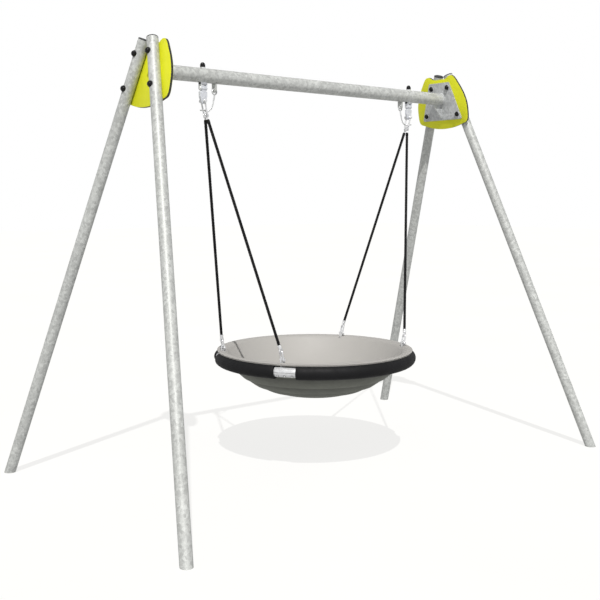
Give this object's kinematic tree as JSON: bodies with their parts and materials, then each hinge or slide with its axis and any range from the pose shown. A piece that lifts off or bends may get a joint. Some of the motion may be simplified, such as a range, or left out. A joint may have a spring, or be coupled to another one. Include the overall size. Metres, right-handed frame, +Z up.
{
  "type": "saucer nest swing",
  "caption": "Saucer nest swing: a padded round bowl seat on ropes, hung from a crossbar between splayed A-frame legs with yellow end panels.",
  "frame": {"origin": "on the ground, under the middle of the seat", "axes": "+X along the crossbar, +Y to the rear, which is the direction of swing, +Z up"},
  "size_m": [3.1212, 1.9082, 2.3846],
  "materials": {
    "galvanised_steel": "hot-dip galvanised, matt with a faint spangle",
    "stainless_steel": "satin stainless",
    "cast_steel": "fine cast, zinc plated",
    "steel_cable": "stranded steel cable",
    "yellow_board": "satin yellow-green board with a dark core at its edge",
    "black_cap": "moulded black plastic",
    "grey_plug": "moulded grey plastic",
    "bronze": "sintered bronze",
    "black_rope": "stranded black rope with a steel core",
    "black_rubber": "matt black rubber",
    "grey_rubber": "smooth moulded light grey rubber, darker and ridged underneath"
  },
  "bodies": {
    "frame": {"crossbar": "galvanised_steel", "panel_left": "yellow_board", "end_plate_left": "galvanised_steel", "leg_front_left": "galvanised_steel", "leg_plug_front_left": "grey_plug", "leg_bolt_upper_front_left": "black_cap", "leg_nut_upper_front_left": "black_cap", "leg_bolt_lower_front_left": "black_cap", "leg_nut_lower_front_left": "black_cap", "leg_rear_left": "galvanised_steel", "leg_plug_rear_left": "grey_plug", "leg_bolt_upper_rear_left": "black_cap", "leg_nut_upper_rear_left": "black_cap", "leg_bolt_lower_rear_left": "black_cap", "leg_nut_lower_rear_left": "black_cap", "hanger_clevis_left": "stainless_steel", "pivot_pin_left": "stainless_steel", "hanger_nut_left": "black_cap", "panel_right": "yellow_board", "end_plate_right": "galvanised_steel", "leg_front_right": "galvanised_steel", "leg_plug_front_right": "grey_plug", "leg_bolt_upper_front_right": "black_cap", "leg_nut_upper_front_right": "black_cap", "leg_bolt_lower_front_right": "black_cap", "leg_nut_lower_front_right": "black_cap", "leg_rear_right": "galvanised_steel", "leg_plug_rear_right": "grey_plug", "leg_bolt_upper_rear_right": "black_cap", "leg_nut_upper_rear_right": "black_cap", "leg_bolt_lower_rear_right": "black_cap", "leg_nut_lower_rear_right": "black_cap", "hanger_clevis_right": "stainless_steel", "pivot_pin_right": "stainless_steel", "hanger_nut_right": "black_cap"},
    "hanger_left": {"pendulum_left": "cast_steel", "pivot_bush_left": "bronze", "safety_cable_left": "steel_cable"},
    "hanger_right": {"pendulum_right": "cast_steel", "pivot_bush_right": "bronze", "safety_cable_right": "steel_cable"},
    "ropes_left": {"upper_shackle_left": "stainless_steel", "rope_front_left": "black_rope", "rope_rear_left": "black_rope", "lower_shackle_front_left": "stainless_steel", "lower_shackle_rear_left": "stainless_steel"},
    "ropes_right": {"upper_shackle_right": "stainless_steel", "rope_front_right": "black_rope", "rope_rear_right": "black_rope", "lower_shackle_front_right": "stainless_steel", "lower_shackle_rear_right": "stainless_steel"},
    "seat": {"seat_bowl": "grey_rubber", "ring_bumper": "black_rubber", "ring_hoop": "galvanised_steel", "ring_clamp_front_left": "stainless_steel", "ring_clamp_rear_left": "stainless_steel", "ring_clamp_front_right": "stainless_steel", "ring_clamp_rear_right": "stainless_steel"}
  },
  "joints": [
    {"name": "swing", "type": "hinge", "parent": "frame", "child": "hanger_left", "pos_m": [-0.788, 0, 2.15045], "axis": [1, 0, 0], "range_deg": [-60, 60]},
    {"name": "swing_right", "type": "hinge", "parent": "frame", "child": "hanger_right", "pos_m": [0.788, 0, 2.15045], "axis": [1, 0, 0], "range_deg": [-60, 60]},
    {"name": "sway", "type": "hinge", "parent": "hanger_left", "child": "ropes_left", "pos_m": [-0.788, 0, 2.08345], "axis": [0, 1, 0], "range_deg": [-6, 6]},
    {"name": "sway_right", "type": "hinge", "parent": "hanger_right", "child": "ropes_right", "pos_m": [0.788, 0, 2.08345], "axis": [0, 1, 0], "range_deg": [-6, 6]},
    {"name": "seat_level", "type": "hinge", "parent": "ropes_left", "child": "seat", "pos_m": [-0.47377, 0, 0.696], "axis": [0, 1, 0], "range_deg": [-10.2, 10.2]}
  ],
  "couplings": [
    {"joint": "swing_right", "follows": "swing", "ratio": 1},
    {"joint": "sway_right", "follows": "sway", "ratio": 1},
    {"joint": "seat_level", "follows": "sway", "ratio": -1.6632}
  ]
}
